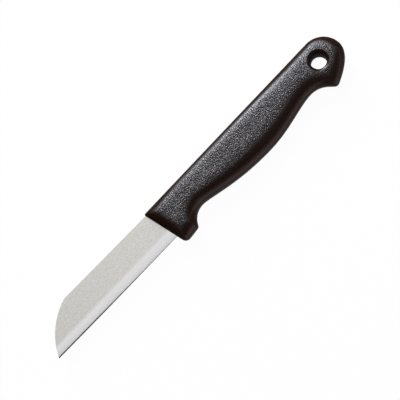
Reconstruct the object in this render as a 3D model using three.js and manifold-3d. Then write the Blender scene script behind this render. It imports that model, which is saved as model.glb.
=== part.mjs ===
// A small paring knife: a stamped steel blade whose hidden tang is locked inside a one-piece moulded handle.
// Millimetres. +X runs from the handle to the tip, +Y from the spine to the cutting edge, +Z up through the
// thickness. Both outlines are drawn from a datum where the handle's spine meets its front, on the knife's
// middle plane. The finished knife lies on its side, with the middle of its footprint at the origin.
import * as THREE from "three";
import { mergeVertices } from "three/addons/utils/BufferGeometryUtils.js";
import Module from "manifold-3d";

// Blade
const bladeLength = 65.9; // handle front to tip, measured along the knife
const bladeThickness = 1.2;
const heelWidth = 15.3; // spine to cutting edge where the blade leaves the handle
const spineDrop = 0.75; // blade spine below the handle's spine, at the handle
const spineLength = 47.3; // straight spine, from the handle to the break
const pointWidth = 16.05; // spine to cutting edge at the break
const pointRadius = 30; // arc from the break down to the tip
const curlLength = 58; // last stretch of the cutting edge, which curves up to the tip
const tipRise = 0.4; // height of that curve
const grindWidth = 4.4; // ground face, from the cutting edge up
const bevelWidth = 1.5; // sharpened bevel, from the cutting edge up
const bevelThickness = 0.7; // steel at the top of the sharpened bevel
const edgeThickness = 0.06; // steel left at the cutting edge itself

// Tang, one piece with the blade
const shoulderDepth = 4; // full-width blade buried behind the handle's front
const tangLength = 54; // from the shoulder to the end of the tang
const tangWidth = 8; // at the shoulder
const tangEndWidth = 6;
const lockHoleDiameter = 4.5; // punched through the tang and filled by the moulding
const lockHoleSetback = 9; // from the shoulder to the first hole
const lockHolePitch = 24;
const lockHoleCount = 2;
const fitGap = 0.3; // between the steel and the moulding all round

// Handle stations along the knife, each measured from the one before
const frontToNotch = 19.7;
const notchToBelly = 35;
const bellyToNeck = 27.9;
const neckToButt = 23.3;

// Handle widths, from the spine
const notchWidth = 14.6; // finger notch behind the guard
const bellyWidth = 19.3;
const neckWidth = 15.5;
const beakWidth = 21.3; // to the beak's corner before it is rounded
const buttCornerWidth = 15.4; // where the sloping end would meet the butt's end plane
const guardDrop = 4.7; // guard below the cutting edge
const guardClimb = 0.65; // how much the guard's end face climbs towards the butt
const buttLift = 0.45; // how much the spine climbs from front to butt

// Handle curves
const frontSlant = 11.2; // degrees that the front leans back from spine to guard
const frontCorner = 0.9; // lengths that a corner's curve takes off each side
const guardCorner = 2.55;
const guardHeelCorner = 1.3;
const beakCorner = 1.5;
const notchRadius = 8.2;
const neckRadius = 10;
const neckSweep = 46; // degrees of neck arc, up to the beak
const buttRadius = 9.7;
const notchEase = 0.13; // reach of each curve's handles, as shares of the stretch that it spans
const bellyFrontEase = 0.55;
const bellyRearEase = 0.44;
const neckEase = 0.26;

// Handle thickness and edge rounding
const palmThickness = 11.2;
const buttThickness = 10.6;
const crownInset = 0.6; // line of full thickness, inside the spine's rounded edge
const crownMargin = 3; // that line stops this far inside the rounded ends
const spineRound = 5; // width of the rounded edge that faces each way
const bellyRound = 9.4;
const frontRound = 5;
const buttRound = 6;
const spineFullness = 2.25; // 2 is an ellipse, more is squarer
const bellyFullness = 2;
const frontFullness = 2.2;
const buttFullness = 2.4;

// Hanging hole
const holeDiameter = 7;
const holeFromButt = 11.7;
const holeFromSpine = 8.8;
const holeRimRound = 1.4;

// Faceting
const outlineStep = 3; // longest step along an outline
const bendSteps = 7; // fewest steps on a curved stretch
const roundSteps = 7; // rings from the outline up to full thickness
const holeSegments = 32;
const crownStep = 0.02; // search for full thickness, as shares of the way in to the crown line
const crownLimit = 0.9;
const overshoot = 5; // how far a cutting body runs past what it cuts
const noLength = 1e-6;

const edgeY = spineDrop + heelWidth;
const breakY = edgeY - pointWidth;
const guardY = edgeY + guardDrop;
const notchX = -frontToNotch;
const bellyX = notchX - notchToBelly;
const neckX = bellyX - bellyToNeck;
const buttX = neckX - neckToButt;
const crownY = spineRound + crownInset;
const tangY = notchWidth / 2;
const slantRatio = Math.tan(THREE.MathUtils.degToRad(frontSlant));
const behindTangX = -(edgeY * slantRatio + shoulderDepth + tangLength + overshoot);

const wasm = await Module();
wasm.setup();

// A closed geometry as a solid that can be joined and cut.
function solidOf(geometry) {
  const bare = geometry.clone();
  bare.deleteAttribute("normal");
  bare.deleteAttribute("uv");
  const merged = mergeVertices(bare);
  return new wasm.Manifold(
    new wasm.Mesh({
      numProp: 3,
      vertProperties: new Float32Array(merged.getAttribute("position").array),
      triVerts: new Uint32Array(merged.index.array),
    }),
  );
}

function meshOf(name, solid, material) {
  const { vertProperties, triVerts } = solid.getMesh();
  const geometry = new THREE.BufferGeometry();
  geometry.setAttribute("position", new THREE.BufferAttribute(vertProperties, 3));
  geometry.setIndex(new THREE.BufferAttribute(triVerts, 1));
  geometry.computeVertexNormals();
  const mesh = new THREE.Mesh(geometry, material);
  mesh.name = name;
  return mesh;
}

// Draws a line towards a corner, and a curve that cuts the corner off by `reach` on each side.
function roundedCorner(path, corner, next, reach) {
  const arriving = corner.clone().sub(path.currentPoint).setLength(reach);
  const leaving = next.clone().sub(corner).setLength(reach);
  path.lineTo(corner.x - arriving.x, corner.y - arriving.y);
  path.quadraticCurveTo(corner.x, corner.y, corner.x + leaving.x, corner.y + leaving.y);
}

// Centre of the arc of a given radius from one point to another, on the left of the chord.
function arcCentre(from, to, radius) {
  const chord = to.clone().sub(from);
  const offset = Math.sqrt(radius ** 2 - chord.lengthSq() / 4);
  const left = new THREE.Vector2(-chord.y, chord.x).setLength(offset);
  return from.clone().add(to).multiplyScalar(0.5).add(left);
}

// The cutting edge from where it starts to curve up to the tip.
function edgeCurl(skin) {
  const start = new THREE.Vector2(bladeLength - curlLength, edgeY + skin);
  const bend = new THREE.Vector2(bladeLength - curlLength / 2, edgeY + skin);
  const tip = new THREE.Vector2(bladeLength + skin, edgeY - tipRise + skin);
  return new THREE.QuadraticBezierCurve(start, bend, tip);
}

// Outline of blade and tang in one piece, grown by `skin` on every side.
function steelOutline(skin) {
  const shoulderX = (y) => -y * slantRatio - shoulderDepth - skin;
  const tangEndX = shoulderX(tangY) - tangLength;
  const spineSlope = (breakY - spineDrop) / spineLength;
  const shoulderSpineX = shoulderX(spineDrop);
  const spineBreak = new THREE.Vector2(spineLength, breakY - skin);
  const curl = edgeCurl(skin);
  const tip = curl.v2;
  const centre = arcCentre(spineBreak, tip, pointRadius);
  const angleTo = (p) => Math.atan2(p.y - centre.y, p.x - centre.x);
  const tangHalf = tangWidth / 2 + skin;
  const tangEndHalf = tangEndWidth / 2 + skin;

  const outline = new THREE.Shape();
  outline.moveTo(shoulderSpineX, spineDrop + spineSlope * shoulderSpineX - skin);
  outline.lineTo(spineBreak.x, spineBreak.y);
  outline.absarc(centre.x, centre.y, pointRadius, angleTo(spineBreak), angleTo(tip), false);
  outline.quadraticCurveTo(curl.v1.x, curl.v1.y, curl.v0.x, curl.v0.y);
  outline.lineTo(shoulderX(edgeY), edgeY + skin);
  outline.lineTo(shoulderX(tangY + tangHalf), tangY + tangHalf);
  outline.lineTo(tangEndX, tangY + tangEndHalf);
  outline.lineTo(tangEndX, tangY - tangEndHalf);
  outline.lineTo(shoulderX(tangY - tangHalf), tangY - tangHalf);
  outline.closePath();

  for (let i = 0; i < lockHoleCount; i++) {
    const x = -tangY * slantRatio - shoulderDepth - lockHoleSetback - i * lockHolePitch;
    const hole = new THREE.Path();
    hole.absarc(x, tangY, lockHoleDiameter / 2 - skin, 0, 2 * Math.PI, true);
    outline.holes.push(hole);
  }
  return outline;
}

// A long wedge that keeps only the steel inside a pair of ground faces. Its section starts at the cutting
// edge with half thickness `startHalf` and widens by `slope` until it clears the sheet.
function grindWedge(route, start, startHalf, slope) {
  const top = bladeThickness;
  const topAt = start + (top - startHalf) / slope;
  const reach = pointWidth + 2 * overshoot;
  const section = [
    [start, -startHalf],
    [start, startHalf],
    [topAt, top],
    [reach, top],
    [reach, -top],
    [topAt, -top],
  ];
  const count = section.length;
  const positions = [];
  const faces = [];
  route.forEach(({ point, inward }, station) => {
    for (const [depth, z] of section) {
      positions.push(point.x + inward.x * depth, point.y + inward.y * depth, z);
    }
    if (station === 0) return;
    for (let i = 0; i < count; i++) {
      const a = (station - 1) * count + i;
      const b = (station - 1) * count + ((i + 1) % count);
      faces.push(a, b, b + count, a, b + count, a + count);
    }
  });
  const last = (route.length - 1) * count;
  for (let i = 1; i < count - 1; i++) {
    faces.push(0, i + 1, i, last, last + i, last + i + 1);
  }
  const wedge = new THREE.BufferGeometry();
  wedge.setAttribute("position", new THREE.Float32BufferAttribute(positions, 3));
  wedge.setIndex(faces);
  return solidOf(wedge);
}

// Stations along a straight line and then a curve, from behind the tang to past the tip. Each has the
// direction that leads into the blade.
function edgeRoute(curl) {
  const station = (point, tangent) => ({ point, inward: new THREE.Vector2(tangent.y, -tangent.x) });
  const firstTangent = curl.getTangent(0);
  const lastTangent = curl.getTangent(1);
  const route = [station(new THREE.Vector2(behindTangX, curl.v0.y), firstTangent)];
  for (let i = 0; i <= bendSteps; i++) {
    route.push(station(curl.getPoint(i / bendSteps), curl.getTangent(i / bendSteps)));
  }
  route.push(station(curl.v2.clone().addScaledVector(lastTangent, overshoot), lastTangent));
  return route;
}

// Blade and tang: a flat sheet cut to the outline, ground on both faces and sharpened along the edge.
// Grown by `skin`, the same shape is the pocket that the moulding leaves around it.
function steel(skin) {
  const depth = bladeThickness + 2 * skin;
  const sheet = new THREE.ExtrudeGeometry(steelOutline(skin), {
    depth,
    bevelEnabled: false,
    curveSegments: 2 * bendSteps,
  });
  sheet.translate(0, 0, -depth / 2);

  const bevelSlope = (bevelThickness - edgeThickness) / 2 / bevelWidth;
  const bevel = grindWedge(edgeRoute(edgeCurl(skin)), 0, edgeThickness / 2 + skin, bevelSlope);

  const grindSlope = (bladeThickness - bevelThickness) / 2 / (grindWidth - bevelWidth);
  const grindApex = bevelWidth - (bevelThickness - edgeThickness) / 2 / grindSlope;
  const straight = [behindTangX, bladeLength + overshoot].map((x) => ({
    point: new THREE.Vector2(x, edgeY),
    inward: new THREE.Vector2(0, -1),
  }));
  const grind = grindWedge(straight, grindApex, edgeThickness / 2 + skin, grindSlope);

  return solidOf(sheet).intersect(bevel).intersect(grind);
}

// Outline of the handle, along the spine from the butt, then round the front, guard, notch, belly and beak.
function handleOutline() {
  const front = new THREE.Vector2(0, 0);
  const guard = new THREE.Vector2(-guardY * slantRatio, guardY);
  const heelY = guardY - guardClimb;
  const notchSweep = Math.acos(1 - (heelY - notchWidth) / notchRadius);
  const notchCentre = new THREE.Vector2(notchX, notchWidth + notchRadius);
  const onNotch = (angle) =>
    new THREE.Vector2(Math.sin(angle), -Math.cos(angle)).multiplyScalar(notchRadius).add(notchCentre);
  const heel = onNotch(notchSweep);
  const heelEnd = onNotch(notchSweep - guardHeelCorner / notchRadius);

  const sweep = THREE.MathUtils.degToRad(neckSweep);
  const neckEnd = new THREE.Vector2(
    neckX - neckRadius * Math.sin(sweep),
    neckWidth + neckRadius * (1 - Math.cos(sweep)),
  );
  const beak = new THREE.Vector2(neckEnd.x - (beakWidth - neckEnd.y) / Math.tan(sweep), beakWidth);
  const buttCorner = new THREE.Vector2(buttX, buttCornerWidth);
  const buttCentre = new THREE.Vector2(buttX + buttRadius, buttRadius - buttLift);
  const down = -Math.PI / 2;

  const outline = new THREE.Path();
  outline.moveTo(buttCentre.x, -buttLift);
  roundedCorner(outline, front, guard, frontCorner);
  roundedCorner(outline, guard, heel, guardCorner);
  outline.lineTo(heel.x + guardHeelCorner, heel.y);
  outline.quadraticCurveTo(heel.x, heel.y, heelEnd.x, heelEnd.y);
  const heelAngle = down + notchSweep - guardHeelCorner / notchRadius;
  outline.absarc(notchCentre.x, notchCentre.y, notchRadius, heelAngle, down, true);
  outline.bezierCurveTo(
    notchX - notchEase * notchToBelly, notchWidth,
    bellyX + bellyFrontEase * notchToBelly, bellyWidth,
    bellyX, bellyWidth,
  );
  outline.bezierCurveTo(
    bellyX - bellyRearEase * bellyToNeck, bellyWidth,
    neckX + neckEase * bellyToNeck, neckWidth,
    neckX, neckWidth,
  );
  outline.absarc(neckX, neckWidth + neckRadius, neckRadius, down, down - sweep, true);
  roundedCorner(outline, beak, buttCorner, beakCorner);
  outline.quadraticCurveTo(buttCorner.x, buttCorner.y, buttX, buttCentre.y);
  outline.absarc(buttCentre.x, buttCentre.y, buttRadius, Math.PI, 1.5 * Math.PI, false);
  outline.closePath();
  return outline;
}

// Points along an outline, close together on its bends. A line of no length, where an arc starts, has none.
function traced(outline) {
  return outline.curves.flatMap((curve) => {
    if (curve.getLength() < noLength) return [];
    const fewest = curve.isLineCurve ? 1 : bendSteps;
    const steps = Math.max(fewest, Math.ceil(curve.getLength() / outlineStep));
    return curve.getSpacedPoints(steps).slice(0, -1);
  });
}

// The rounded edge changes smoothly with the direction that the outline faces.
function edgeStyle(outward) {
  const facing = [
    [outward.y < 0 ? outward.y ** 2 : 0, spineRound, spineFullness],
    [outward.y > 0 ? outward.y ** 2 : 0, bellyRound, bellyFullness],
    [outward.x > 0 ? outward.x ** 2 : 0, frontRound, frontFullness],
    [outward.x < 0 ? outward.x ** 2 : 0, buttRound, buttFullness],
  ];
  const mixed = (column) => facing.reduce((sum, row) => sum + row[0] * row[column], 0);
  return { width: mixed(1), fullness: mixed(2) };
}

// Half thickness on the crown, easing from palm to butt between the belly and the neck.
function halfThickness(x) {
  const ease = THREE.MathUtils.smoothstep(-x, -bellyX, -neckX);
  return THREE.MathUtils.lerp(palmThickness, buttThickness, ease) / 2;
}

// The moulded body: rings that climb from the outline on the middle plane to full thickness on both sides.
function handleBody() {
  const rim = traced(handleOutline());
  const count = rim.length;
  const sides = rim.map((point, i) => {
    const next = rim[(i + 1) % count];
    const along = next.clone().sub(point);
    const outward = new THREE.Vector2(along.y, -along.x).normalize();
    return { point, along, ...edgeStyle(outward) };
  });

  // Share of full thickness at a point: each stretch of outline allows a height that grows with distance.
  const riseAt = (p) => {
    let rise = 1;
    for (const { point, along, width, fullness } of sides) {
      const offset = p.clone().sub(point);
      const share = THREE.MathUtils.clamp(offset.dot(along) / along.lengthSq(), 0, 1);
      const depth = offset.addScaledVector(along, -share).length() / width;
      if (depth < 1) rise = Math.min(rise, (1 - (1 - depth) ** fullness) ** (1 / fullness));
    }
    return rise;
  };

  // From each outline point, the way straight in towards the crown line, as far as the first full thickness.
  const crownFront = -(frontRound + crownMargin);
  const crownButt = buttX + buttRound + crownMargin;
  const inward = rim.map((point) => {
    const crown = new THREE.Vector2(THREE.MathUtils.clamp(point.x, crownButt, crownFront), crownY);
    const ray = crown.sub(point);
    let share = crownStep;
    while (share < crownLimit && riseAt(point.clone().addScaledVector(ray, share)) < 1) share += crownStep;
    return ray.multiplyScalar(share);
  });

  const positions = [];
  const addRing = (ring, side) => {
    const climb = 1 - Math.cos((ring / roundSteps) * (Math.PI / 2));
    rim.forEach((point, i) => {
      const p = point.clone().addScaledVector(inward[i], climb);
      const z = ring === 0 ? 0 : side * halfThickness(p.x) * riseAt(p);
      positions.push(p.x, p.y, z);
    });
    return rim.map((_, i) => positions.length / 3 - count + i);
  };
  const middle = addRing(0, 1);
  const faces = [];
  for (const side of [1, -1]) {
    const addFace = (a, b, c) => (side > 0 ? faces.push(a, b, c) : faces.push(a, c, b));
    let outer = middle;
    for (let ring = 1; ring <= roundSteps; ring++) {
      const inner = addRing(ring, side);
      for (let i = 0; i < count; i++) {
        const j = (i + 1) % count;
        addFace(outer[i], outer[j], inner[j]);
        addFace(outer[i], inner[j], inner[i]);
      }
      outer = inner;
    }

    // The land on the crown: a strip between the belly side and the spine side, from front to butt.
    const xOf = (index) => positions[3 * index];
    const xs = outer.map(xOf);
    const foremost = xs.indexOf(Math.max(...xs));
    const rearmost = xs.indexOf(Math.min(...xs));
    const chain = (step) => {
      const row = [outer[foremost]];
      for (let i = foremost; i !== rearmost; ) {
        i = (i + step + count) % count;
        row.push(outer[i]);
      }
      return row;
    };
    const belly = chain(1);
    const spine = chain(-1);
    let b = 0;
    let s = 0;
    while (b < belly.length - 2 || s < spine.length - 2) {
      const bellyNext = belly[b + 1];
      const spineNext = spine[s + 1];
      const bellyDone = b >= belly.length - 2;
      const spineDone = s >= spine.length - 2;
      if (spineDone || (!bellyDone && xOf(bellyNext) >= xOf(spineNext))) {
        addFace(spine[s], belly[b], bellyNext);
        b++;
      } else {
        addFace(spine[s], belly[b], spineNext);
        s++;
      }
    }
    addFace(spine[s], belly[b], outer[rearmost]);
  }

  const body = new THREE.BufferGeometry();
  body.setAttribute("position", new THREE.Float32BufferAttribute(positions, 3));
  body.setIndex(faces);
  return solidOf(body);
}

// The hanging hole, with a rounded rim on both sides.
function hangingHole() {
  const radius = holeDiameter / 2;
  const face = buttThickness / 2;
  const profile = [new THREE.Vector2(0, -face - overshoot)];
  profile.push(new THREE.Vector2(radius + holeRimRound, -face - overshoot));
  for (const side of [-1, 1]) {
    for (let i = 0; i <= bendSteps; i++) {
      const share = side < 0 ? 1 - i / bendSteps : i / bendSteps;
      const angle = share * (Math.PI / 2);
      const r = radius + holeRimRound * (1 - Math.cos(angle));
      profile.push(new THREE.Vector2(r, side * (face - holeRimRound * (1 - Math.sin(angle)))));
    }
  }
  profile.push(new THREE.Vector2(radius + holeRimRound, face + overshoot));
  profile.push(new THREE.Vector2(0, face + overshoot));
  const tool = new THREE.LatheGeometry(profile, holeSegments);
  tool.rotateX(Math.PI / 2);
  tool.translate(buttX + holeFromButt, holeFromSpine, 0);
  return solidOf(tool);
}

const steelFinish = new THREE.MeshStandardMaterial({ color: 0xc9c6c2, roughness: 0.35, metalness: 1 });
const mouldedFinish = new THREE.MeshStandardMaterial({ color: 0x221f20, roughness: 0.55, metalness: 0 });

const blade = meshOf("blade", steel(0), steelFinish);
const handle = meshOf("handle", handleBody().subtract(steel(fitGap)).subtract(hangingHole()), mouldedFinish);

const lying = new THREE.Group();
lying.add(blade, handle);
const box = new THREE.Box3().setFromObject(lying);
const centre = box.getCenter(new THREE.Vector3());
lying.position.set(-centre.x, -centre.y, -box.min.z);

const knife = new THREE.Group();
knife.add(lying);

export default knife;
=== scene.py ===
import math

import bmesh
import bpy
import numpy as np
from mathutils import Matrix, Vector


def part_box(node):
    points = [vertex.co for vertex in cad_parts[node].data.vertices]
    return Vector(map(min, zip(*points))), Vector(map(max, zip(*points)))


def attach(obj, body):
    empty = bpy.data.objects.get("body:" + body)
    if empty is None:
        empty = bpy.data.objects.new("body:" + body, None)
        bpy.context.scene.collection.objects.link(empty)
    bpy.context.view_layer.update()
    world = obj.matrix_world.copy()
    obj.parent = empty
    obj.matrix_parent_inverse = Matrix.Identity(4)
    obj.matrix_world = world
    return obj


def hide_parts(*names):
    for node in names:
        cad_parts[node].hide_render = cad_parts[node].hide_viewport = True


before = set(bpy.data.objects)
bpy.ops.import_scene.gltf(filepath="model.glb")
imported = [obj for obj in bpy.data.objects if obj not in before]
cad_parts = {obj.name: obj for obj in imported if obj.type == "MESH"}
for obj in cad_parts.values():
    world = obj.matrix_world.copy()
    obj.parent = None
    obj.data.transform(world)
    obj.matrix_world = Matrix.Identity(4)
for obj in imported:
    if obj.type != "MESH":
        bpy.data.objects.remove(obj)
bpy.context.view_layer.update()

mm = 0.001  # sizes below are in millimetres, Blender works in metres
fewestSteps = 6  # along any curve or arc
weldGap = 0.0005  # mesh points closer than this become one
tiny = 1e-6  # keeps divisions safe

# plan points are complex numbers in mm: x runs to the tip, y from the spine to the cutting edge, and the
# datum is where the handle's spine meets its front, on the knife's middle plane
handleLow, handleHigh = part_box("handle")
handleLength = 105.9
buttLift = 0.45  # the spine climbs this much from front to butt
middleZ = (handleLow.z + handleHigh.z) / 2
datum = Vector((handleLow.x + handleLength * mm, handleLow.y + buttLift * mm, middleZ))
slant = math.tan(math.radians(11.2))  # the handle's front leans back by this much


def inFrame(plan, z):
    return datum + Vector((plan.real, plan.imag, z)) * mm


def planOf(verts):
    return np.array([complex(*((vert.co - datum) / mm)[:2]) for vert in verts])


def ease(value, low, high):  # 0 up to low, 1 from high on, and a smooth step between
    share = np.clip((value - low) / (high - low), 0, 1)
    return share**2 * (3 - 2 * share)


def pathLengths(path):
    return np.concatenate([[0], np.cumsum(np.abs(np.diff(path)))])


def curve(*controls, step=1.0, spacing=1.0):  # a Bezier curve of any degree, without its last point
    chord = sum(abs(b - a) for a, b in zip(controls, controls[1:]))
    count = max(fewestSteps, math.ceil(chord / step))
    share = np.linspace(0, 1, count + 1)[:-1] ** spacing
    layer = [np.full(len(share), complex(c)) for c in controls]
    while len(layer) > 1:
        layer = [a + (b - a) * share for a, b in zip(layer, layer[1:])]
    return layer[0]


def arc(centre, radius, start, end, step=1.0):  # degrees, without its last point
    count = max(fewestSteps, math.ceil(abs(math.radians(end - start)) * radius / step))
    turns = np.radians(np.linspace(start, end, count + 1)[:-1])
    return centre + radius * np.exp(1j * turns)


def towards(a, b, reach):  # a point on the way from a to b
    return a + (b - a) / abs(b - a) * reach


def column(grid, index):
    return [row[index] for row in grid]


def bridge(bm, rowA, rowB):
    for a, b, c, d in zip(rowA, rowA[1:], rowB[1:], rowB):
        bm.faces.new((a, b, c, d))


def bridgeRound(bm, ringA, ringB):
    bridge(bm, ringA + ringA[:1], ringB + ringB[:1])


def plate(bm, grid, patches):  # quads over a grid of points, left open where the patches are
    for i, (rowA, rowB) in enumerate(zip(grid, grid[1:])):
        start = 0
        for firstRow, lastRow, firstColumn, lastColumn in patches:
            if firstRow <= i < lastRow:
                bridge(bm, rowA[start : firstColumn + 1], rowB[start : firstColumn + 1])
                start = lastColumn
        bridge(bm, rowA[start:], rowB[start:])


def patchLoop(grid, patch):  # the points around a patch
    firstRow, lastRow, firstColumn, lastColumn = patch
    loop = [grid[firstRow][j] for j in range(firstColumn, lastColumn)]
    loop += [grid[i][lastColumn] for i in range(firstRow, lastRow)]
    loop += [grid[lastRow][j] for j in range(lastColumn, firstColumn, -1)]
    loop += [grid[i][firstColumn] for i in range(lastRow, firstRow, -1)]
    return loop


# rings of quads from a patch's edge to a round hole: rings gives (share of the way in, radius, drop), and
# the drop is from the height at the first ring's circle
def roundHole(bm, loop, centre, side, rings, surface):
    edge = planOf(loop)
    outward = (edge - centre) / np.abs(edge - centre)
    firstRadius = rings[0][1]
    outer = loop
    for share, radius, drop in rings:
        circle = centre + outward * radius
        plan = edge + (circle - edge) * share
        heights = surface(plan if share < 1 else centre + outward * firstRadius) - drop
        inner = [bm.verts.new(inFrame(p, side * z)) for p, z in zip(plan, heights)]
        bridgeRound(bm, outer, inner)
        outer = inner
    return outer


def pieceFrom(bm, name):
    bmesh.ops.delete(bm, geom=[v for v in bm.verts if not v.link_faces], context="VERTS")
    bmesh.ops.remove_doubles(bm, verts=bm.verts, dist=weldGap * mm)
    bmesh.ops.recalc_face_normals(bm, faces=bm.faces)
    mesh = bpy.data.meshes.new(name)
    bm.to_mesh(mesh)
    bm.free()
    mesh.shade_smooth()
    piece = bpy.data.objects.new(name, mesh)
    bpy.context.scene.collection.objects.link(piece)
    return piece


# Blade: satin stainless strip, ground on both faces, sharpened and honed along the edge
blade = {
    "length": 65.9,
    "thickness": 1.2,
    "spineDrop": 0.75,  # blade spine below the handle's spine
    "heelWidth": 15.3,
    "spineLength": 47.3,
    "pointWidth": 16.05,
    "pointRadius": 30.0,  # spine's arc down to the tip
    "curlLength": 58.0,  # the edge lifts to the tip over its last stretch
    "tipRise": 0.4,
    "grindWidth": 4.4,
    "grindBlend": 0.5,  # the grind runs out into the flat over twice this width
    "bevelWidth": 1.5,
    "bevelThickness": 0.7,
    "bevelSlope": 0.155,
    "honeSlope": 0.4,
    "honeHeel": 0.03,  # width of the honed facet at the heel
    "honeTip": 0.47,  # and towards the tip
    "honeGrowth": 0.7,  # it widens over this share of the edge
    "edgeBreak": 0.12,  # spine and point edges are just taken off
    "shoulderDepth": 4.0,
    "tangLength": 54.0,
    "tangEndWidth": 6.0,
    "tangHoles": 2,
    "tangHole": 4.5,
    "tangHoleSetback": 9.0,
    "tangHolePitch": 24.0,
    "stations": 64,  # mesh points from the shoulder to the point
    "pointSteps": 400,
    "blendRows": 5,
    "faceStrips": 12,  # strips of mesh from the grind up to the spine
    "breakStrip": 0.14,  # share of the last strip that is left for the broken edge
    "tangStrips": 9,  # strips that carry on into the tang
    "tangHoleRows": 4,  # mesh rows on either side of a hole's middle
    "sharpFrom": 12.0,  # degrees between faces
}


def bladeLines():
    b = blade
    edgeY = b["spineDrop"] + b["heelWidth"]
    half = b["thickness"] / 2
    tip = complex(b["length"], edgeY - b["tipRise"])
    spineBreak = complex(b["spineLength"], edgeY - b["pointWidth"])
    chord = tip - spineBreak
    inset = math.sqrt(b["pointRadius"] ** 2 - abs(chord) ** 2 / 4)
    centre = (spineBreak + tip) / 2 + 1j * chord / abs(chord) * inset
    firstTurn, lastTurn = np.angle(np.array([tip, spineBreak]) - centre)
    point = centre + b["pointRadius"] * np.exp(1j * np.linspace(firstTurn, lastTurn, b["pointSteps"]))

    def lift(x):
        return b["tipRise"] * np.clip((x - b["length"] + b["curlLength"]) / b["curlLength"], 0, 1) ** 2

    grindSlope = (half - b["bevelThickness"] / 2) / (b["grindWidth"] - b["bevelWidth"])
    bevelStart = b["bevelThickness"] / 2 - b["bevelSlope"] * b["bevelWidth"]
    blendTop = b["grindWidth"] + b["grindBlend"]
    blendDepths = blendTop - 2 * b["grindBlend"] * np.linspace(1, 0, b["blendRows"])
    share = np.linspace(0, 1, b["stations"])
    share = np.append(share[:-1], [1 - b["edgeBreak"] / b["length"], 1])

    # each line runs from the shoulder to the point: how much it follows the curl, its depth from the edge
    # and its half thickness
    hone = b["honeHeel"] + (b["honeTip"] - b["honeHeel"]) * np.clip(share / b["honeGrowth"], 0, 1)
    level = np.ones(len(share))
    rows = [(1, 0 * level, bevelStart - (b["honeSlope"] - b["bevelSlope"]) * hone)]
    rows += [(1, hone, bevelStart + b["bevelSlope"] * hone)]
    rows += [(1, b["bevelWidth"] * level, b["bevelThickness"] / 2 * level)]
    for depth in blendDepths:
        thickness = half - grindSlope * (blendTop - depth) ** 2 / (4 * b["grindBlend"])
        rows += [(0, depth * level, thickness * level)]
    grindTop = len(rows) - 1
    width = b["heelWidth"] + (b["pointWidth"] - b["heelWidth"]) * share
    lastStrips = [b["faceStrips"] - b["breakStrip"], b["faceStrips"]]
    for strip in np.append(np.arange(1, b["faceStrips"]), lastStrips):
        taken = b["edgeBreak"] if strip == b["faceStrips"] else 0
        rows += [(0, blendTop + (width - blendTop) * strip / b["faceStrips"], (half - taken) * level)]

    lines = []
    for follows, depth, thickness in rows:
        reached = edgeY - follows * lift(point.real) - point.imag  # depth of every point of the arc
        endX = np.interp(depth[-1], reached, point.real)
        startX = (depth[0] - edgeY) * slant - b["shoulderDepth"]
        x = startX + (endX - startX) * share
        y = edgeY - follows * lift(x) - depth
        thickness[-1] = max(thickness[-1] - b["edgeBreak"], thickness[-1] / 2)
        lines.append((x + 1j * y, thickness))
    return lines, grindTop


def buildBlade():
    b = blade
    half = b["thickness"] / 2
    lines, tangFirst = bladeLines()
    tangLast = tangFirst + b["tangStrips"]
    holeRings = [(1, b["tangHole"] / 2, 0)]
    bm = bmesh.new()
    sides = {}

    def flat(plan):
        return np.full(len(plan), half)

    for side in (1, -1):
        grid = [[bm.verts.new(inFrame(p, side * t)) for p, t in zip(*line)] for line in lines]
        plate(bm, grid, [])

        # the tang carries some of the strips on into the handle
        starts = np.array([lines[k][0][0] for k in range(tangFirst, tangLast + 1)])
        middle = (starts[0] + starts[-1]) / 2
        across = np.linspace(0.5, -0.5, len(starts)) * b["tangEndWidth"]
        ends = middle.real - b["tangLength"] + 1j * (middle.imag + across)
        count = round(b["tangLength"])
        tang = [column(grid[tangFirst : tangLast + 1], 0)]
        for i in range(1, count + 1):
            plan = starts + (ends - starts) * i / count
            tang.append([bm.verts.new(inFrame(p, side * half)) for p in plan])
        patches = []
        bores = []
        for hole in range(b["tangHoles"]):
            setback = b["tangHoleSetback"] + hole * b["tangHolePitch"]
            row = round(setback)
            patch = (row - b["tangHoleRows"], row + b["tangHoleRows"], 1, len(starts) - 2)
            bores.append(roundHole(bm, patchLoop(tang, patch), middle - setback, side, holeRings, flat))
            patches.append(patch)
        plate(bm, tang, patches)
        sides[side] = (grid, tang, bores)

    (gridA, tangA, boresA), (gridB, tangB, boresB) = sides[1], sides[-1]
    bridge(bm, gridA[0], gridB[0])  # cutting edge
    bridge(bm, gridA[-1], gridB[-1])  # spine
    bridge(bm, column(gridA, -1), column(gridB, -1))  # point
    for shoulder in (slice(0, tangFirst + 1), slice(tangLast, len(lines))):
        bridge(bm, column(gridA[shoulder], 0), column(gridB[shoulder], 0))
    for rim in (0, -1):
        bridge(bm, column(tangA, rim), column(tangB, rim))
    bridge(bm, tangA[-1], tangB[-1])
    for boreA, boreB in zip(boresA, boresB):
        bridgeRound(bm, boreA, boreB)
    piece = pieceFrom(bm, "ground_blade")
    piece.data.set_sharp_from_angle(angle=math.radians(b["sharpFrom"]))
    return piece


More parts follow.
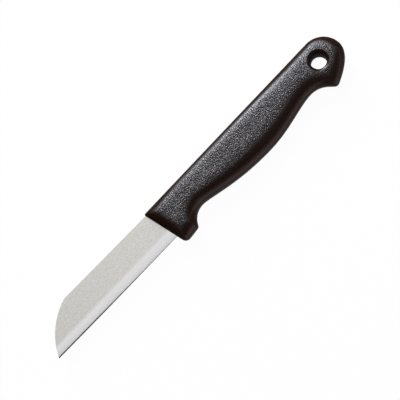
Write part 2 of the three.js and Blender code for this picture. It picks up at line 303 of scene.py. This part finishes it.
# Handle: one moulding, an outline rounded over to full thickness, with a hanging hole near the butt.
# Sets of five values are for butt, neck, belly, notch and front.
handle = {
    "frontToNotch": 19.7,
    "notchToBelly": 35.0,
    "bellyToNeck": 27.9,
    "notchWidth": 14.6,
    "bellyWidth": 19.3,
    "neckWidth": 15.5,
    "beakWidth": 21.3,
    "buttCornerWidth": 15.4,
    "guardWidth": 20.75,
    "guardClimb": 0.65,
    "frontCorner": 0.9,
    "guardCorner": 2.55,
    "guardHeelCorner": 1.3,
    "beakCorner": 1.5,
    "notchRadius": 8.2,
    "neckRadius": 10.0,
    "neckSweep": 46.0,
    "buttRadius": 9.7,
    "notchEase": 0.13,
    "bellyFrontEase": 0.55,
    "bellyRearEase": 0.44,
    "neckEase": 0.26,
    "palmThickness": 11.2,
    "buttThickness": 10.6,
    "spineRound": (5.5, 2.18),  # width of the rounded edge, and fullness: 2 is an ellipse, more is squarer
    "bellyRound": (9.4, 2.0),
    "frontRound": (6.3, 2.2),
    "buttRound": (6.0, 2.4),
    "spineReach": (1.1, 1.22, 1.0, 1.0, 1.0),  # times the width
    "bellyReach": (0.9, 0.9, 1.0, 0.73, 0.93),
    "mitre": 5.0,  # lower is softer where two rounded edges meet
    "holeDiameter": 7.0,
    "holeFromButt": 11.7,
    "holeFromSpine": 8.8,
    "holeFlare": 1.05,  # the hole opens out by this much at each face
    "holeFlareDepth": 0.9,
    "holeFlareCurve": 1.5,  # 1 is a plain cone
    "holeEdge": 0.12,
    "holeMargin": 1.2,  # mesh is turned into rings this far around the mouth
    "holeRings": (0.4, 0.75, 1),
    "grainFade": (0.85, 0.97),  # share of full thickness over which the grain comes in
    "spineGrain": (0.7, 0.5, 0.25, 0.25, 0.05),  # the spine keeps this much of it
    "holeFade": 0.5,  # grain fades out this close to the hole
    "endDull": (7.0, 25.0),  # degrees of slope between which front and end turn dull
    "spineDull": ((27, 23, 31, 31, 10), (49, 44, 52, 52, 34)),
    "bellyDull": (46.0, 62.0),
    "bellyShine": 0.35,  # the belly keeps this share of its shine
    "paintedWarmSlopes": (18.0, 32.0),  # slopes between which a painted warm tint comes into the sheen, standing in for warm light on the belly side; not on the spine
    "columns": 45,  # mesh points from spine to belly
    "slotGap": 0.03,  # the moulding closes on the steel, and this keeps the meshes apart
    "sharpFrom": 50.0,  # degrees between faces
}
notchX = -handle["frontToNotch"]
bellyX = notchX - handle["notchToBelly"]
neckX = bellyX - handle["bellyToNeck"]
buttX = -handleLength


def handleOutline():
    h = handle
    front = 0j
    guard = complex(-h["guardWidth"] * slant, h["guardWidth"])
    heelY = h["guardWidth"] - h["guardClimb"]
    sweep = math.acos(1 - (heelY - h["notchWidth"]) / h["notchRadius"])
    notchCentre = complex(notchX, h["notchWidth"] + h["notchRadius"])
    heel = notchCentre + h["notchRadius"] * np.exp(1j * (sweep - math.pi / 2))
    heelTurn = math.degrees(sweep - h["guardHeelCorner"] / h["notchRadius"]) - 90
    heelEnd = notchCentre + h["notchRadius"] * np.exp(1j * math.radians(heelTurn))
    neckCentre = complex(neckX, h["neckWidth"] + h["neckRadius"])
    neckTurn = -90 - h["neckSweep"]
    neckEnd = neckCentre + h["neckRadius"] * np.exp(1j * math.radians(neckTurn))
    rise = h["beakWidth"] - neckEnd.imag
    beak = neckEnd + complex(-rise / math.tan(math.radians(h["neckSweep"])), rise)
    buttCorner = complex(buttX, h["buttCornerWidth"])
    buttCentre = complex(buttX + h["buttRadius"], h["buttRadius"] - buttLift)
    frontTop = towards(front, guard, h["frontCorner"])
    frontFoot = towards(guard, front, h["guardCorner"])
    guardEnd = towards(guard, heel, h["guardCorner"])
    heelStart = heel + h["guardHeelCorner"]
    notch = complex(notchX, h["notchWidth"])
    belly = complex(bellyX, h["bellyWidth"])
    neck = complex(neckX, h["neckWidth"])
    beakStart = towards(beak, neckEnd, h["beakCorner"])
    beakEnd = towards(beak, buttCorner, h["beakCorner"])
    buttEnd = complex(buttX, buttCentre.imag)

    bellySide = {
        "guard": curve(frontFoot, guard, guardEnd, step=0.4, spacing=2),
        "guardFoot": curve(guardEnd, heelStart, step=0.7),
        "heel": curve(heelStart, heel, heelEnd, step=0.4),
        "notch": arc(notchCentre, h["notchRadius"], heelTurn, -90, step=0.7),
        "bellyFront": curve(notch, notch - h["notchEase"] * h["notchToBelly"],
                            belly + h["bellyFrontEase"] * h["notchToBelly"], belly),
        "bellyRear": curve(belly, belly - h["bellyRearEase"] * h["bellyToNeck"],
                           neck + h["neckEase"] * h["bellyToNeck"], neck),
        "neck": arc(neckCentre, h["neckRadius"], -90, neckTurn, step=0.9),
        "beakSlope": curve(neckEnd, beakStart, step=0.9),
        "beak": curve(beakStart, beak, beakEnd, step=0.4),
        "butt": curve(beakEnd, buttCorner, buttEnd, step=0.8),
        "end": [buttEnd],
    }
    spineSide = [
        curve(frontTop, front, front - h["frontCorner"], step=0.05),
        curve(front - h["frontCorner"], complex(buttCentre.real, -buttLift)),
        arc(buttCentre, h["buttRadius"], 270, 180, step=0.2),
        [buttEnd],
    ]
    # places along the belly side and the spine points that stand across from them
    after = dict(zip(bellySide, np.cumsum([len(stretch) for stretch in bellySide.values()])))
    marks = [
        (0, 0),
        (after["heel"], heel.real),
        (after["notch"], notchX),
        (after["bellyFront"], bellyX),
        (after["bellyRear"], neckX),
        (after["beak"], beak.real),
    ]
    return np.concatenate(spineSide), np.concatenate(list(bellySide.values())), marks, after["beak"]


def alongHandle(plan, values):  # values at butt, neck, belly, notch and front, and what lies between
    return np.interp(plan.real, (buttX, neckX, bellyX, notchX, 0), values)


def edgeRise(points, rim, turn):  # share of full thickness that a stretch of rim allows
    h = handle
    along = np.diff(rim)
    offset = points[:, None] - rim[None, :-1]
    share = np.clip((offset * along.conj()).real / np.abs(along) ** 2, 0, 1)
    away = np.abs(offset - share * along)
    facing = turn * along / np.abs(along)
    weights = {
        "spineRound": np.clip(-facing.imag, 0, None) ** 2,
        "bellyRound": np.clip(facing.imag, 0, None) ** 2,
        "frontRound": np.clip(facing.real, 0, None) ** 2,
        "buttRound": np.clip(-facing.real, 0, None) ** 2,
    }
    reach = {
        "spineRound": alongHandle(rim[:-1], h["spineReach"]),
        "bellyRound": alongHandle(rim[:-1], h["bellyReach"]),
    }
    width = sum(w * h[key][0] * reach.get(key, 1) for key, w in weights.items())
    fullness = sum(w * h[key][1] for key, w in weights.items())
    depth = np.clip(away / width, 0, 1)
    return ((1 - (1 - depth) ** fullness) ** (1 / fullness)).min(axis=1)


def holeCentre():
    return complex(buttX + handle["holeFromButt"], handle["holeFromSpine"])


def buildHandle():
    h = handle
    spineSide, bellySide, marks, beakRow = handleOutline()
    rims = [  # stretches that meet in a corner, with the turn from along to outward
        (np.array([spineSide[0], bellySide[0]]), -1j),
        (np.append(spineSide, bellySide[-2 : beakRow - 1 : -1]), 1j),
        (bellySide[: beakRow + 1], -1j),
    ]
    leastRise = 1e-4  # keeps the power below finite

    def surface(plan):
        rear = ease(bellyX - plan.real, 0, h["bellyToNeck"])
        half = (h["palmThickness"] + (h["buttThickness"] - h["palmThickness"]) * rear) / 2
        rises = [np.clip(edgeRise(plan, rim, turn), leastRise, 1) for rim, turn in rims]
        sharp = sum(rise ** -h["mitre"] - 1 for rise in rises)
        return half * (1 + sharp) ** (-1 / h["mitre"])

    # rows across the handle, from the front face to the middle of the butt
    bellyRun = pathLengths(bellySide)
    spineRun = pathLengths(spineSide)
    bellyMarks = [bellyRun[i] for i, x in marks] + [bellyRun[-1]]
    spineMarks = [np.interp(-x, -spineSide.real, spineRun) for i, x in marks] + [spineRun[-1]]
    spineMarks[0] = 0
    matched = np.interp(bellyRun, bellyMarks, spineMarks)
    spineRow = np.interp(matched, spineRun, spineSide)
    across = (1 - np.cos(np.linspace(0, np.pi, h["columns"]))) / 2
    plan = spineRow[:, None] + (bellySide - spineRow)[:, None] * across
    heights = surface(plan.ravel()).reshape(plan.shape)
    heights[[0, -1]] = 0
    heights[:, [0, -1]] = 0

    # rings around the hanging hole: face, rounded edge and flared mouth
    hole = holeCentre()
    radius = h["holeDiameter"] / 2
    mouth = radius + h["holeFlare"]
    edge = h["holeEdge"]
    away = np.abs(plan - hole)
    reach = mouth + edge + h["holeMargin"]
    rowsIn = np.nonzero(away[:, np.argmin(away.min(axis=0))] < reach)[0]
    columnsIn = np.nonzero(away[np.argmin(away.min(axis=1))] < reach)[0]
    patch = (rowsIn[0] - 1, rowsIn[-1] + 1, columnsIn[0] - 1, columnsIn[-1] + 1)
    rings = [(share, mouth + edge, 0) for share in h["holeRings"]]
    for turn in np.radians(np.linspace(15, 75, 5)):
        rings.append((1, mouth + edge * (1 - math.sin(turn)), edge * (1 - math.cos(turn))))
    for share in np.linspace(0, 1, 6):
        flare = h["holeFlare"] * (1 - share) ** h["holeFlareCurve"]
        rings.append((1, radius + flare, edge + (h["holeFlareDepth"] - edge) * share))

    bm = bmesh.new()
    bores = []
    for side in (1, -1):
        grid = [[bm.verts.new(inFrame(p, side * z)) for p, z in zip(*row)] for row in zip(plan, heights)]
        plate(bm, grid, [patch])
        bores.append(roundHole(bm, patchLoop(grid, patch), hole, side, rings, surface))
    bridgeRound(bm, *bores)
    return pieceFrom(bm, "moulded_handle")


def cutSlot(piece, knifeBlade):  # slot and pocket are the blade and its tang, a hair larger
    cutter = bpy.data.objects.new("slot_cutter", knifeBlade.data.copy())
    bpy.context.scene.collection.objects.link(cutter)
    grown = bmesh.new()
    grown.from_mesh(cutter.data)
    for vert in grown.verts:
        vert.co += vert.normal * handle["slotGap"] * mm
    grown.to_mesh(cutter.data)
    grown.free()
    cut = piece.modifiers.new("slot", "BOOLEAN")
    cut.operation = "DIFFERENCE"
    cut.solver = "EXACT"
    cut.object = cutter
    evaluated = piece.evaluated_get(bpy.context.evaluated_depsgraph_get())
    piece.data = bpy.data.meshes.new_from_object(evaluated)
    piece.modifiers.clear()
    bpy.data.objects.remove(cutter)
    piece.data.set_sharp_from_angle(angle=math.radians(handle["sharpFrom"]))


def grainShare(plan):  # full on the sides, less on the spine, none on the front, belly and end roundings
    h = handle
    spineSide, bellySide, _, beakRow = handleOutline()
    smooth = [np.array([spineSide[0], bellySide[0]]), bellySide[: beakRow + 1], bellySide[beakRow:]]
    least = alongHandle(plan, h["spineGrain"])
    onSpine = least + (1 - least) * ease(edgeRise(plan, spineSide, 1j), *h["grainFade"])
    elsewhere = ease(np.min([edgeRise(plan, rim, -1j) for rim in smooth], axis=0), *h["grainFade"])
    fromHole = np.abs(plan - holeCentre()) - h["holeDiameter"] / 2 - h["holeFlare"]
    return onSpine * np.clip(fromHole / h["holeFade"], 0, 1) * elsewhere


def dullAndPaintedTintShares(plan, normals):  # steep surfaces are dull, and away from the spine the sheen gets a painted warm tint that stands in for warm light
    h = handle
    steep = np.degrees(np.arccos(np.clip(np.abs(normals[:, 2]), 0, 1)))
    sideways = normals[:, 1] / np.maximum(np.hypot(normals[:, 0], normals[:, 1]), tiny)
    spineward = np.clip(-sideways, 0, 1) ** 2
    bellyward = np.clip(sideways, 0, 1) ** 2
    limits = []
    for end, spine, belly in zip(h["endDull"], h["spineDull"], h["bellyDull"]):
        limits.append(end + (alongHandle(plan, spine) - end) * spineward + (belly - end) * bellyward)
    dulled = ease(steep, *limits) * (1 - h["bellyShine"] * bellyward)
    paintedWarmTint = ease(steep, *h["paintedWarmSlopes"]) * (1 - spineward)
    # in the bore the sheen is fully dull and takes the full painted warm tint
    inHole = np.abs(plan - holeCentre()) < h["holeDiameter"] / 2 + h["holeEdge"]
    return np.where(inHole, 1, dulled), np.where(inHole, 1, paintedWarmTint)


def paintSurface(piece):  # the material reads these shares
    plan = planOf(piece.data.vertices)
    normals = np.array([v.normal for v in piece.data.vertices])
    dulled, paintedWarmTint = dullAndPaintedTintShares(plan, normals)
    for name, shares in (("grained", grainShare(plan)), ("dulled", dulled), ("paintedWarmTint", paintedWarmTint)):
        layer = piece.data.attributes.new(name, "FLOAT", "POINT")
        layer.data.foreach_set("value", shares)


# Materials
noiseRange = {"From Min": 0.3, "From Max": 0.7}  # noise seldom goes past these


def hexColour(code):  # sRGB hex to linear
    values = [int(code[i : i + 2], 16) / 255 for i in (1, 3, 5)]
    return tuple(v / 12.92 if v <= 0.04045 else ((v + 0.055) / 1.055) ** 2.4 for v in values) + (1.0,)


def addNode(tree, kind, inputs=None, **settings):
    made = tree.nodes.new("ShaderNode" + kind)
    for name, value in settings.items():
        setattr(made, name, value)
    for socket, value in (inputs or {}).items():
        if isinstance(value, bpy.types.NodeSocket):
            tree.links.new(value, made.inputs[socket])
        else:
            made.inputs[socket].default_value = value
    return made


def newMaterial(name):
    material = bpy.data.materials.new(name)
    material.use_nodes = True
    tree = material.node_tree
    tree.nodes.clear()
    return material, tree


# black polypropylene from a spark-eroded mould: fine pits break the sheen into a sparkle, and the dark
# underneath shows wherever no light is mirrored
plastic = {
    "dark": "#1B0D06",
    "worn": "#20120B",
    "grain": 0.45,  # mm, about a pixel in the picture: real pits may be finer, drawn this coarse to show
    "pitDepth": 0.35,  # mm of bump, deeper than real to show
    "mottle": 9.0,  # mm
    "roughLow": 0.27,
    "roughHigh": 0.38,
    "dullRough": 0.8,
    "ior": 1.49,
    "gloss": 0.82,
    "dullGloss": 0.08,
    "sheen": "#EEF4FF",  # a slightly cool shine on top
    "paintedWarmSheen": "#FFDEDC",  # and a painted warm tint where it turns down, standing in for warm light from the belly side
}


def mouldedPolypropylene():
    p = plastic
    material, tree = newMaterial("mouldedPolypropylene")
    place = addNode(tree, "TexCoord").outputs["Object"]
    grain = addNode(tree, "TexNoise", {"Vector": place, "Scale": 1 / (p["grain"] * mm), "Detail": 1.0,
                                       "Roughness": 0.5}).outputs["Fac"]
    mottle = addNode(tree, "TexNoise", {"Vector": place, "Scale": 1 / (p["mottle"] * mm), "Detail": 3.0})
    colour = addNode(tree, "MixRGB", {"Fac": mottle.outputs["Fac"], "Color1": hexColour(p["dark"]),
                                      "Color2": hexColour(p["worn"])})
    rough = addNode(tree, "MapRange", {"Value": grain, **noiseRange, "To Min": p["roughLow"],
                                       "To Max": p["roughHigh"]})
    dulled = addNode(tree, "Attribute", attribute_name="dulled").outputs["Fac"]
    dullRough = addNode(tree, "MapRange", {"Value": dulled, "To Min": rough.outputs[0],
                                           "To Max": p["dullRough"]})
    dullGloss = addNode(tree, "MapRange", {"Value": dulled, "To Min": p["gloss"], "To Max": p["dullGloss"]})
    # the sheen's tint: cool on top, and a painted warm tint on the downturned sides in place of warm light
    paintedWarmTint = addNode(tree, "Attribute", attribute_name="paintedWarmTint").outputs["Fac"]
    sheen = addNode(tree, "MixRGB", {"Fac": paintedWarmTint, "Color1": hexColour(p["sheen"]),
                                     "Color2": hexColour(p["paintedWarmSheen"])})
    grained = addNode(tree, "Attribute", attribute_name="grained").outputs["Fac"]
    bump = addNode(tree, "Bump", {"Height": grain, "Strength": grained, "Distance": p["pitDepth"] * mm})
    shader = addNode(tree, "BsdfPrincipled", {
        "Base Color": colour.outputs[0],
        "Roughness": dullRough.outputs[0],
        "IOR": p["ior"],
        "Specular IOR Level": dullGloss.outputs[0],
        "Specular Tint": sheen.outputs[0],
        "Normal": bump.outputs[0],
    }, distribution="GGX")
    shader.inputs["Specular IOR Level"].default_value = p["gloss"]  # for where the links are dropped
    shader.inputs["Specular Tint"].default_value = hexColour(p["sheen"])
    addNode(tree, "OutputMaterial", {"Surface": shader.outputs[0]})
    return material


# stainless strip, ground on a fine wheel: an even grey satin whose marks run across the blade
steel = {
    "bright": "#D4D2CE",
    "dull": "#BEBCB8",
    "mark": 0.25,  # mm, real marks are about 0.03 wide, drawn coarser to show
    "markLength": 6.0,
    "markDepth": 0.0006,
    "speck": 0.45,  # mm, also drawn coarser
    "roughLow": 0.27,
    "roughHigh": 0.35,
    "ground": "#DEDEDF",  # the band along the edge has a finer finish
    "groundRough": 0.2,
    "groundFade": 1.7,  # mm, where the band runs out into the face
}


def satinGroundStainless():
    s = steel
    material, tree = newMaterial("satinGroundStainless")
    place = addNode(tree, "TexCoord").outputs["Object"]
    perMark = [1 / (length * mm) for length in (s["mark"], s["markLength"], s["mark"])]
    stretched = addNode(tree, "Mapping", {"Vector": place, "Scale": perMark})
    marks = addNode(tree, "TexNoise", {"Vector": stretched.outputs[0], "Scale": 1.0, "Detail": 3.0,
                                       "Roughness": 0.65}).outputs["Fac"]
    specks = addNode(tree, "TexNoise", {"Vector": place, "Scale": 1 / (s["speck"] * mm), "Detail": 1.0})
    tone = addNode(tree, "MapRange", {"Value": specks.outputs["Fac"], **noiseRange})
    colour = addNode(tree, "MixRGB", {"Fac": tone.outputs[0], "Color1": hexColour(s["dull"]),
                                      "Color2": hexColour(s["bright"])})
    rough = addNode(tree, "MapRange", {"Value": marks, **noiseRange, "To Min": s["roughLow"],
                                       "To Max": s["roughHigh"]})
    bandTop = datum.y + (blade["spineDrop"] + blade["heelWidth"] - blade["grindWidth"]) * mm
    across = addNode(tree, "SeparateXYZ", {0: place}).outputs["Y"]
    band = addNode(tree, "MapRange", {"Value": across, "From Min": bandTop - s["groundFade"] / 2 * mm,
                                      "From Max": bandTop + s["groundFade"] / 2 * mm},
                   interpolation_type="SMOOTHSTEP").outputs[0]
    bandColour = addNode(tree, "MixRGB", {"Fac": band, "Color1": colour.outputs[0],
                                          "Color2": hexColour(s["ground"])})
    bandRough = addNode(tree, "MapRange", {"Value": band, "To Min": rough.outputs[0],
                                           "To Max": s["groundRough"]})
    bump = addNode(tree, "Bump", {"Height": marks, "Strength": 1.0, "Distance": s["markDepth"] * mm})
    shader = addNode(tree, "BsdfPrincipled", {"Base Color": bandColour.outputs[0], "Metallic": 1.0,
                                              "Roughness": bandRough.outputs[0], "Normal": bump.outputs[0]})
    addNode(tree, "OutputMaterial", {"Surface": shader.outputs[0]})
    return material


# white paper sweep: matt, lit a little short of white, and lifted to white where the camera or steel sees it
paper = {
    "colour": "#F4F4F4",
    "lift": 0.97,
    "reach": 1.5,  # metres from the middle
}


def whitePaper():
    material, tree = newMaterial("whitePaper")
    rays = addNode(tree, "LightPath")
    seen = addNode(tree, "Math", {0: rays.outputs["Is Camera Ray"], 1: rays.outputs["Is Glossy Ray"]},
                   operation="ADD")
    seenAlso = addNode(tree, "Math", {0: seen.outputs[0], 1: rays.outputs["Is Transmission Ray"]},
                       operation="ADD", use_clamp=True)
    share = addNode(tree, "Math", {0: seenAlso.outputs[0], 1: paper["lift"]}, operation="MULTIPLY")
    matt = addNode(tree, "BsdfDiffuse", {"Color": hexColour(paper["colour"])})
    white = addNode(tree, "Emission", {"Color": (1, 1, 1, 1), "Strength": 1.0})
    mixed = addNode(tree, "MixShader", {0: share.outputs[0], 1: matt.outputs[0], 2: white.outputs[0]})
    addNode(tree, "OutputMaterial", {"Surface": mixed.outputs[0]})
    return material


def layFloor():
    bm = bmesh.new()
    bmesh.ops.create_grid(bm, x_segments=1, y_segments=1, size=paper["reach"])
    mesh = bpy.data.meshes.new("floor")
    bm.to_mesh(mesh)
    bm.free()
    floor = bpy.data.objects.new("floor", mesh)
    bpy.context.scene.collection.objects.link(floor)
    floor.data.materials.append(whitePaper())


# Camera: almost straight down on the knife, which lies across the picture from lower left to upper right
photoView = {
    "target": -20.30 + 12.418j,  # plan point in the middle of the picture
    "azimuth": 179.394,
    "elevation": 78.334,
    "roll": -45.692,
    "distance": 580.5,  # mm
    "nearest": 10,  # mm, what is closer is cut away
    "scale": 2.4548,  # pixels for each mm at the target
    "pixels": 400,
}


def placeCamera():
    v = photoView
    azimuth, elevation, roll = (math.radians(v[key]) for key in ("azimuth", "elevation", "roll"))
    back = Vector((math.sin(azimuth) * math.cos(elevation), -math.cos(azimuth) * math.cos(elevation),
                   math.sin(elevation)))
    right = Vector((math.cos(azimuth), math.sin(azimuth), 0))
    up = back.cross(right)
    across = right * math.cos(roll) + up * math.sin(roll)
    upward = up * math.cos(roll) - right * math.sin(roll)
    camera = bpy.data.objects.new("camera", bpy.data.cameras.new("camera"))
    camera.data.lens = camera.data.sensor_width * v["scale"] * v["distance"] / v["pixels"]
    camera.data.clip_start = v["nearest"] * mm
    spot = inFrame(v["target"], 0) + back * v["distance"] * mm
    camera.matrix_world = Matrix.Translation(spot) @ Matrix((across, upward, back)).transposed().to_4x4()
    bpy.context.scene.collection.objects.link(camera)
    bpy.context.scene.camera = camera


# Light, in metres: a wide overhead box, a bright narrow key on the spine side and a weak fill low on the
# belly side. A lamp's first side lies along the knife, and the other is turned to face it.
lamps = {
    "overhead": {"at": (-0.40, -0.22, 0.90), "size": (1.8, 0.75), "radiance": 0.99, "colour": "#FFFFFF"},
    "key": {"at": (-0.30, -0.89, 0.56), "size": (0.2, 0.9), "radiance": 33.0, "colour": "#FFFFFF"},
    "fill": {"at": (0.0, 0.98, 0.235), "size": (1.6, 0.45), "radiance": 0.37, "colour": "#FFFFFF"},
}
# a dim room, with paler walls beyond the knife's two ends
room = {
    "level": 0.025,
    "walls": 0.3,
    "wallEdge": (0.15, 0.45),  # squared share of the sight line that runs along the knife
    "wallTop": (0.5, 0.3),  # sine of the sight line's elevation
    "colour": "#FFF6F0",
}


def hangLamps():
    for name, lamp in lamps.items():
        data = bpy.data.lights.new(name, "AREA")
        data.shape = "RECTANGLE"
        data.size, data.size_y = lamp["size"]
        data.color = hexColour(lamp["colour"])[:3]
        data.energy = lamp["radiance"] * math.pi * data.size * data.size_y
        light = bpy.data.objects.new(name, data)
        light.location = lamp["at"]
        light.rotation_euler.x = math.atan2(-light.location.y, light.location.z)
        bpy.context.scene.collection.objects.link(light)


def lightRoom():
    world = bpy.data.worlds.new("room")
    world.use_nodes = True
    tree = world.node_tree
    sight = addNode(tree, "SeparateXYZ", {0: addNode(tree, "TexCoord").outputs["Generated"]})
    endways = addNode(tree, "Math", {0: sight.outputs["X"], 1: sight.outputs["X"]}, operation="MULTIPLY")
    edgeLow, edgeHigh = room["wallEdge"]
    atEnds = addNode(tree, "MapRange", {"Value": endways.outputs[0], "From Min": edgeLow,
                                        "From Max": edgeHigh}, interpolation_type="SMOOTHSTEP")
    topHigh, topLow = room["wallTop"]
    walls = addNode(tree, "MapRange", {"Value": sight.outputs["Z"], "From Min": topHigh, "From Max": topLow,
                                       "To Max": room["walls"]}, interpolation_type="SMOOTHSTEP")
    level = addNode(tree, "Math", {0: atEnds.outputs[0], 1: walls.outputs[0], 2: room["level"]},
                    operation="MULTIPLY_ADD")
    back = tree.nodes["Background"]
    back.inputs["Color"].default_value = hexColour(room["colour"])
    tree.links.new(level.outputs[0], back.inputs["Strength"])
    bpy.context.scene.world = world


placeCamera()
hangLamps()
lightRoom()
layFloor()
bpy.context.scene.view_settings.view_transform = "Standard"
print("camera, light and floor are set")

bladePiece = buildBlade()
handlePiece = buildHandle()
cutSlot(handlePiece, bladePiece)
paintSurface(handlePiece)
bladeFaces, handleFaces = (len(piece.data.polygons) for piece in (bladePiece, handlePiece))
print("meshes:", bladeFaces, "faces on the blade,", handleFaces, "on the handle")

for piece, node, slot, material in (
    (bladePiece, "blade", "blade_steel", satinGroundStainless()),
    (handlePiece, "handle", "handle_plastic", mouldedPolypropylene()),
):
    piece.data.materials.append(material)
    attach(piece, "root")
    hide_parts(node)
print("materials are on")
